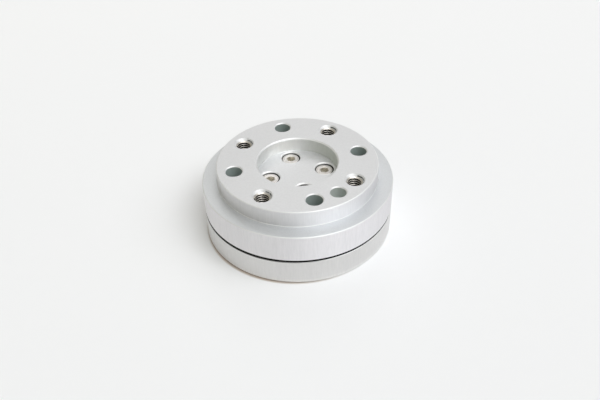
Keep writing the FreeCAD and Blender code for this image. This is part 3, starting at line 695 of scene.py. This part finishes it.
def board_laminate():
    """Green solder mask over a fine glass weave, with paler copper tracks beneath."""
    look = Look("board_laminate", Coat_Weight=0.3)
    weave = look.add("TexBrick", {"Vector": look.place(), "Scale": WEAVE_SCALE,
                                  "Mortar Size": WEAVE_MORTAR}).outputs["Fac"]
    cells = look.add("TexVoronoi", {"Vector": look.place(), "Scale": TRACK_SCALE}, distance="MANHATTAN",
                     feature="F1").outputs["Distance"]
    from_track = look.calc("ABSOLUTE", look.calc("SUBTRACT", cells, TRACK_MIDDLE))
    copper = look.below(from_track, TRACK_HALF)
    solder_mask = look.mix(weave, SOLDER_MASK_DARK, SOLDER_MASK_LIGHT)
    look.link("Base Color", look.mix(copper, solder_mask, TRACK_COLOUR))
    look.link("Roughness", look.spread(weave, WHOLE, BOARD_ROUGH))
    look.bump(copper, TRACK_DEPTH)
    return look.material


# Strain gauges

GRID_MIRROR = (1, -1, 1)
GRID_SCALE = 900.0
GRID_LINE = 0.55
FOIL_COLOUR = (0.55, 0.47, 0.36)
FOIL_METAL = 0.7
FILM_DARK = (0.48, 0.22, 0.05)
FILM_LIGHT = (0.62, 0.33, 0.09)
FILM_SCALE = 900
FILM_ROUGH = (0.3, 0.45)


def gauge_film():
    """Amber film with the fine metal grid of a strain gauge."""
    look = Look("gauge_film", Coat_Weight=0.4)
    grid = look.add("TexWave", {"Vector": look.place(GRID_MIRROR), "Scale": GRID_SCALE},
                    bands_direction="DIAGONAL").outputs["Fac"]
    foil = look.above(grid, GRID_LINE)
    cloud = look.noise(look.place(), FILM_SCALE)
    look.link("Base Color", look.mix(foil, look.mix(cloud, FILM_DARK, FILM_LIGHT), FOIL_COLOUR))
    look.link("Metallic", look.spread(foil, WHOLE, (0.0, FOIL_METAL)))
    look.link("Roughness", look.spread(cloud, NOISE_SPAN, FILM_ROUGH))
    return look.material


# Finishes that are plated, moulded or fired, each with one fine speckle

def speckled(name, dark, light, rough, scale, detail=4.0, coarse=0.6, depth=None, **constants):
    """Finish whose colour, roughness and relief follow one noise."""
    look = Look(name, **constants)
    speck = look.noise(look.place(), scale, detail, coarse)
    look.link("Base Color", look.mix(speck, dark, light))
    look.link("Roughness", look.spread(speck, NOISE_SPAN, rough))
    if depth:
        look.bump(speck, depth)
    return look.material


def nickel_plate():
    return speckled("nickel_plate", dark=(0.58, 0.56, 0.52), light=(0.72, 0.70, 0.66), rough=(0.18, 0.32),
                    scale=700, depth=0.003 * MM, Metallic=1.0)


def gold_contact():
    return speckled("gold_contact", dark=(0.78, 0.56, 0.22), light=(0.92, 0.72, 0.34), rough=(0.14, 0.28),
                    scale=1500, detail=3.0, Metallic=1.0)


def capacitor_body():
    return speckled("capacitor_body", dark=(0.36, 0.25, 0.15), light=(0.58, 0.45, 0.31), rough=(0.35, 0.55),
                    scale=4000, coarse=0.7, depth=0.01 * MM)


def moulded(name, dark, light, rough, scale, shine=0.5):
    """Dull moulded plastic, rubber or epoxy with a fine skin."""
    return speckled(name, dark, light, rough, scale, coarse=0.65, depth=0.01 * MM, Specular_IOR_Level=shine)


# Paper of the floor

# Paper painted paler from near to far for the falloff of the lamps' light
FLOOR_FRONT = (0.855, 0.87, 0.882)
FLOOR_BACK = (0.97, 0.985, 0.992)
# Painted contact shadow in the wedge under the sensor's edge
WEDGE_SHADOW = (0.46, 0.39, 0.335)
BLACK = (0, 0, 0)
TOOTH_SCALE = 220
TOOTH_SHARE = 0.012


def floor_look():
    """Pale studio paper with a faint tooth, painted paler from near to far for the falloff of the lamps'
    light, and with painted contact shadow in the wedge under the sensor's edge.
    """
    look = Look("floor_paper", Roughness=0.85)
    tooth = look.noise(look.place(), TOOTH_SCALE, detail=4.0)
    # Painted falloff of the lamps' light, from near to far
    back = look.spread(look.along(FLOOR_AZIMUTH), FLOOR_REACH)
    specks = look.spread(tooth, WHOLE, (0.0, TOOTH_SHARE))
    paper = look.mix(specks, look.mix(back, FLOOR_FRONT, FLOOR_BACK), BLACK)
    # Painted contact shadow, pushed out towards the shaded side
    from_wedge = look.from_place(toward(WEDGE_AZIMUTH) * WEDGE_SHIFT)
    shaded = look.times(look.spread(look.along(WEDGE_AZIMUTH), WEDGE_REACH),
                        look.spread(from_wedge, WEDGE_EDGE))
    look.link("Base Color", look.mix(shaded, paper, WEDGE_SHADOW))
    return look.material


# Meshes

def placed(name, data):
    """New object in the scene."""
    made = bpy.data.objects.new(name, data)
    bpy.context.collection.objects.link(made)
    return made


def level_ring(radius, height, sides):
    """Ring of points at one height; the radius is a number or depends on the turn in radians."""
    ring = []
    for i in range(sides):
        turn = FULL_TURN * i / sides
        r = radius(turn) if callable(radius) else radius
        ring.append(Vector((r * math.cos(turn), r * math.sin(turn), height)))
    return ring


def lofted(rings):
    """Closed skin through rings of equal count, its first two faces the caps at both ends."""
    count = len(rings[0])
    points = [point for ring in rings for point in ring]
    faces = [tuple(reversed(range(count))), tuple(range(len(points) - count, len(points)))]
    for k in range(len(rings) - 1):
        low = k * count
        high = low + count
        for i in range(count):
            j = (i + 1) % count
            faces.append((low + i, low + j, high + j, high + i))
    return points, faces


def piece(name, skin, placings, material, node):
    """One object with a copy of a skin at each placing, standing for a CAD node."""
    points, faces = skin
    mesh = bpy.data.meshes.new(name)
    moved = [placing @ point for placing in placings for point in points]
    shifted = [tuple(i + k * len(points) for i in face) for k in range(len(placings)) for face in faces]
    mesh.from_pydata(moved, [], shifted)
    local = mesh.attributes.new("local", "FLOAT_VECTOR", "POINT")
    local.data.foreach_set("vector", [c for point in points for c in point] * len(placings))
    mesh.shade_smooth()
    mesh.set_sharp_from_angle(angle=math.radians(SHARP_ANGLE))
    mesh.materials.append(material)
    made = placed(name, mesh)
    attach(made, "root")
    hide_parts(node)


def wire_coil(length):
    """Wire of ridge section wound to a thread, its outer end at z = 0 and its body below."""
    section = [(WIRE_WALL_R, -WIRE_HALF), (WIRE_WALL_R, WIRE_HALF), (WIRE_CREST_R, WIRE_FLAT),
               (WIRE_CREST_R, -WIRE_FLAT)]
    turns = (length - 2 * WIRE_HALF) / WIRE_PITCH
    rings = []
    for k in range(int(turns * WIRE_STEPS) + 1):
        turn = -FULL_TURN * k / WIRE_STEPS
        middle = -WIRE_HALF - WIRE_PITCH * k / WIRE_STEPS
        rings.append([Vector((r * math.cos(turn), r * math.sin(turn), middle + rise))
                      for r, rise in section])
    return lofted(rings)


def hexagon(across_flats):
    """Radius of a hexagon at each turn in radians, with a corner at turn 0."""
    def radius(turn):
        return across_flats / 2 / math.cos(turn % (math.pi / 3) - math.pi / 6)
    return radius


def thread(crest_r, depth, pitch, height):
    """Radius of a helical thread at each turn in radians, at one height."""
    def radius(turn):
        phase = (height / pitch - turn / FULL_TURN) % 1.0
        fall = THREAD_SLOPE * abs(phase - 0.5) - THREAD_LAND
        return crest_r - depth * max(0.0, min(1.0, fall))
    return radius


def knurled(radius):
    """Radius of a screw's head with a groove at every other point of its ring."""
    def wavy(turn):
        return radius - KNURL_DEPTH * (1 - math.cos(turn * SCREW_SIDES / 2)) / 2
    return wavy


def flatted(radius):
    """Collar radius with two flats for a wrench."""
    def cut(turn):
        across = abs(math.sin(turn))
        return COLLAR_FLAT / across if radius * across > COLLAR_FLAT else radius
    return cut


def cap_screw():
    """Socket head cap screw, its seat at z = 0: threaded shank, knurled head, hexagon socket."""
    profile = [(SCREW_SHANK_R - SCREW_THREAD_DEPTH, -SCREW_LENGTH)]
    for k in range(1, int((SCREW_LENGTH - SCREW_TIP) / SCREW_THREAD_STEP)):
        height = -SCREW_LENGTH + k * SCREW_THREAD_STEP
        profile.append((thread(SCREW_SHANK_R, SCREW_THREAD_DEPTH, SCREW_THREAD_PITCH, height), height))
    profile += [(SCREW_SHANK_R, 0.0), (HEAD_R - HEAD_FOOT, 0.0), (HEAD_R, HEAD_FOOT), (HEAD_R, KNURL_LOW),
                (knurled(HEAD_R), KNURL_LOW + HEAD_FOOT), (knurled(HEAD_R), KNURL_HIGH - HEAD_FOOT),
                (HEAD_R, KNURL_HIGH)]
    for k in range(ROUND_STEPS + 1):
        turn = math.pi / 2 * k / ROUND_STEPS
        profile.append((HEAD_R - HEAD_ROUND * (1 - math.cos(turn)),
                        HEAD_HEIGHT - HEAD_ROUND * (1 - math.sin(turn))))
    mouth_r = KEY / math.sqrt(3) + KEY_BEVEL
    profile += [(mouth_r, HEAD_HEIGHT), (hexagon(KEY), HEAD_HEIGHT - KEY_BEVEL),
                (hexagon(KEY), HEAD_HEIGHT - KEY_DEPTH), (KEY_BEVEL, HEAD_HEIGHT - KEY_DEPTH - KEY_POINT)]
    return lofted([level_ring(radius, height, SCREW_SIDES) for radius, height in profile])


def receptacle_shell():
    """Receptacle body along Z: panel end, collar with flats, threaded coupling and open socket."""
    profile = [(INSULATOR_R, X_REAR), (PANEL_R, X_REAR), (PANEL_R, X_COLLAR),
               (COLLAR_R - COLLAR_EDGE, X_COLLAR), (flatted(COLLAR_R), X_COLLAR + COLLAR_EDGE),
               (flatted(COLLAR_R), X_COUPLING - COLLAR_EDGE), (COLLAR_R - 2 * COLLAR_EDGE, X_COUPLING),
               (COUPLING_R - COUPLING_THREAD_DEPTH, X_COUPLING)]
    first = X_COUPLING + 2 * COUPLING_EDGE
    count = int((X_MOUTH - COUPLING_EDGE - first) / COUPLING_THREAD_STEP)
    for k in range(count + 1):
        height = first + k * COUPLING_THREAD_STEP
        profile.append((thread(COUPLING_R, COUPLING_THREAD_DEPTH, COUPLING_THREAD_PITCH, height), height))
    profile += [(COUPLING_R - COUPLING_EDGE, X_MOUTH), (SOCKET_R + COLLAR_EDGE / 2, X_MOUTH),
                (SOCKET_R, X_MOUTH - COLLAR_EDGE), (SOCKET_R, X_INSULATOR), (INSULATOR_R, X_INSULATOR)]
    points, faces = lofted([level_ring(radius, height, RECEPTACLE_SIDES) for radius, height in profile])
    sides = faces[2:]
    last = len(points) - RECEPTACLE_SIDES
    bore = [(last + i, last + (i + 1) % RECEPTACLE_SIDES, (i + 1) % RECEPTACLE_SIDES, i)
            for i in range(RECEPTACLE_SIDES)]
    return points, sides + bore


def dress_node(name, material):
    """Gives a carried-over CAD node its finish."""
    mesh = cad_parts[name].data
    mesh.materials.clear()
    mesh.materials.append(material)


# Finishes of the CAD nodes

flange_aluminium = anodised_aluminium("flange_aluminium", dark=(0.738, 0.752, 0.765),
                                      light=(0.818, 0.829, 0.842))
base_aluminium = anodised_aluminium("base_aluminium", dark=(0.706, 0.703, 0.695),
                                    light=(0.786, 0.781, 0.775))
machined = machined_aluminium()
steel = stainless_steel()
laminate = board_laminate()
film = gauge_film()
rubber = moulded("black_rubber", dark=(0.004, 0.004, 0.0035), light=(0.009, 0.009, 0.008),
                 rough=(0.60, 0.75), scale=900, shine=0.15)
epoxy = moulded("chip_plastic", dark=(0.020, 0.020, 0.022), light=(0.036, 0.036, 0.038),
                rough=(0.45, 0.60), scale=3000)
plastic = moulded("black_plastic", dark=(0.016, 0.016, 0.016), light=(0.030, 0.030, 0.030),
                  rough=(0.38, 0.53), scale=1800)
insulation = moulded("wire_insulation", dark=(0.42, 0.42, 0.40), light=(0.52, 0.52, 0.50),
                     rough=(0.40, 0.55), scale=1500)

FINISHES = {
    "tool_flange": flange_aluminium, "base_housing": base_aluminium,
    "elastic_element": machined, "bottom_cover": machined,
    "ring_screws": steel, "board_screws": steel, "cover_screws": steel,
    "hub_dowels": steel, "ring_dowels": steel,
    "gap_seal": rubber, "cover_seal": rubber, "connector_gasket": rubber,
    "bending_gauges": film, "side_gauges": film, "solder_tabs": laminate, "circuit_board": laminate,
    "processor_chip": epoxy, "converter_chips": epoxy, "board_capacitors": capacitor_body(),
    "connector_insulator": plastic, "wire_header": plastic, "connector_contacts": gold_contact(),
    "signal_wires": insulation,
}
for node_name, finish in FINISHES.items():
    dress_node(node_name, finish)

# Pieces that stand for CAD nodes

coil_steel = insert_steel()
coil = wire_coil(INSERT_HIGH.z - INSERT_LOW.z)
tool_coils = [placing @ turned(WIRE_START - angle)
              for placing, angle in zip(around(PITCH_R, DIAGONALS, INSERT_HIGH.z), DIAGONALS)]
base_coils = [placing @ turned(180, "X") for placing in around(PITCH_R, DIAGONALS, BASE_INSERT_LOW.z)]
piece("tool_insert_coils", coil, tool_coils, coil_steel, "tool_thread_inserts")
piece("base_insert_coils", coil, base_coils, coil_steel, "base_thread_inserts")
hub_screws = [placing @ turned(angle) for placing, angle
              in zip(around(HUB_SCREW_R, AXES, HUB_SCREW_HIGH.z - HEAD_HEIGHT), KEY_TURNS)]
piece("hub_cap_screws", cap_screw(), hub_screws, screw_steel(), "hub_screws")
piece("receptacle_body", receptacle_shell(), [outward(RECEPTACLE_ANGLE, RECEPTACLE_Z)], nickel_plate(),
      "connector_shell")


# Floor, lights and camera

def studio_floor():
    """Square of paper under the sensor."""
    mesh = bpy.data.meshes.new("floor")
    corners = [(x * FLOOR_SIZE / 2, y * FLOOR_SIZE / 2, 0) for x, y in FLOOR_CORNERS]
    mesh.from_pydata(corners, [], [range(len(corners))])
    mesh.materials.append(floor_look())
    made = placed("floor", mesh)


def soft_box(name, azimuth, elevation, size, power, colour):
    """Square lamp that shines at the sensor from a turn about it and a height angle."""
    lamp = bpy.data.lights.new(name, "AREA")
    lamp.shape = "SQUARE"
    lamp.size = size
    lamp.energy = power
    lamp.color = colour
    holder = placed(name, lamp)
    direction = toward(azimuth, elevation)
    holder.location = direction * LAMP_DISTANCE
    holder.rotation_euler = direction.to_track_quat("Z", "Y").to_euler()


def room_light():
    """Light of the room all round, warm on one side of the sensor and cool on the other."""
    world = bpy.data.worlds.new("room")
    room = Nodes(world, "Background")
    across = room.vector("DOT_PRODUCT", room.add("TexCoord").outputs["Generated"], toward(ROOM_AZIMUTH))
    room.link("Color", room.mix(room.spread(across, (-ROOM_EDGE, ROOM_EDGE)), ROOM_WARM, ROOM_COOL))
    room.shader.inputs["Strength"].default_value = ROOM_STRENGTH
    bpy.context.scene.world = world


def photo_camera():
    """Camera that sees the sensor as the photograph does."""
    back = toward(CAMERA_AZIMUTH, CAMERA_ELEVATION)
    right = Vector((0, 0, 1)).cross(back).normalized()
    up = back.cross(right)
    roll = math.radians(CAMERA_ROLL)
    side = math.cos(roll) * right + math.sin(roll) * up
    top = math.cos(roll) * up - math.sin(roll) * right
    lens = bpy.data.cameras.new("camera")
    lens.sensor_width = SENSOR_WIDTH
    lens.lens = FOCAL_PIXELS * SENSOR_WIDTH / IMAGE_WIDTH
    lens.clip_start = CAMERA_NEAR
    holder = placed("camera", lens)
    aim = Matrix((side, top, back)).transposed().to_4x4()
    holder.matrix_world = Matrix.Translation(CAMERA_TARGET + CAMERA_DISTANCE * back) @ aim
    bpy.context.scene.camera = holder


studio_floor()
soft_box("key", azimuth=-65, elevation=60, size=2.0, power=50.0, colour=(0.985, 0.988, 1.0))
soft_box("side", azimuth=-28, elevation=45, size=1.6, power=15.5, colour=(0.99, 0.985, 0.99))
soft_box("back", azimuth=76, elevation=45, size=1.6, power=8.8, colour=(1.0, 0.99, 0.99))
soft_box("top", azimuth=76, elevation=80, size=1.6, power=9.0, colour=(1.0, 0.99, 0.99))
room_light()
photo_camera()
bpy.context.scene.view_settings.view_transform = "Standard"
